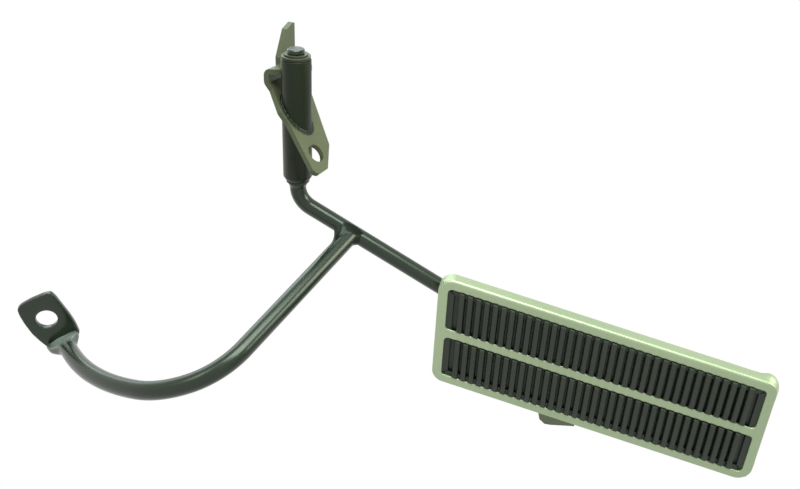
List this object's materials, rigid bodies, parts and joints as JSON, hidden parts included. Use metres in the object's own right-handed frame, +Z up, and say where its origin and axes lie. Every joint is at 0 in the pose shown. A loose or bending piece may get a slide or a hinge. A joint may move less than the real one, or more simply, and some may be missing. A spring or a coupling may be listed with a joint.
{
  "type": "hanging accelerator pedal assembly",
  "caption": "Folded steel bracket with a pivot sleeve, a bent pedal rod, a curved welded throttle lever with a cable eye, and a ribbed rubber pedal in a metal frame that tilts on the rod.",
  "frame": {"origin": "centre of the bolt hole, on the visible face of the bracket's bolted leg", "axes": "X along the pivot axis to the car's right, Y forward away from the driver, Z up"},
  "size_m": [0.2004, 0.1556, 0.3532],
  "materials": {
    "black_enamel": "glossy dark enamel over steel",
    "nylon": "satin",
    "plated_steel": "zinc plated, satin",
    "bright_trim": "satin bright metal",
    "black_rubber": "matte",
    "backing_enamel": "satin dark enamel over steel",
    "spring_steel": "dark satin"
  },
  "bodies": {
    "bracket": {"bracket_plate": "black_enamel", "pivot_sleeve": "black_enamel", "sleeve_weld": "black_enamel", "upper_bushing": "nylon", "lower_bushing": "nylon"},
    "arm": {"pedal_rod": "black_enamel", "thrust_washer": "plated_steel", "head_clip": "plated_steel", "throttle_lever": "black_enamel", "lever_weld": "black_enamel", "pin_washer": "plated_steel", "pin_clip": "plated_steel"},
    "pedal": {"pad_trim": "bright_trim", "rubber_pad": "black_rubber", "backing_plate": "backing_enamel", "hinge_bracket": "backing_enamel", "hinge_rivets": "plated_steel", "inner_hinge_bushing": "nylon", "outer_hinge_bushing": "nylon", "tilt_spring": "spring_steel"}
  },
  "joints": [
    {"name": "arm_pivot", "type": "hinge", "parent": "bracket", "child": "arm", "pos_m": [0.01136, 0.005, 0.01338], "axis": [1, 0, 0], "range_deg": [-10, 30]},
    {"name": "pad_tilt", "type": "hinge", "parent": "arm", "child": "pedal", "pos_m": [0.01136, 0.04013, -0.11593], "axis": [1, 0, 0], "range_deg": [0, 20], "stiffness_Nm_per_rad": 0.15, "springref_deg": -17.19, "deforming": ["tilt_spring"]}
  ]
}
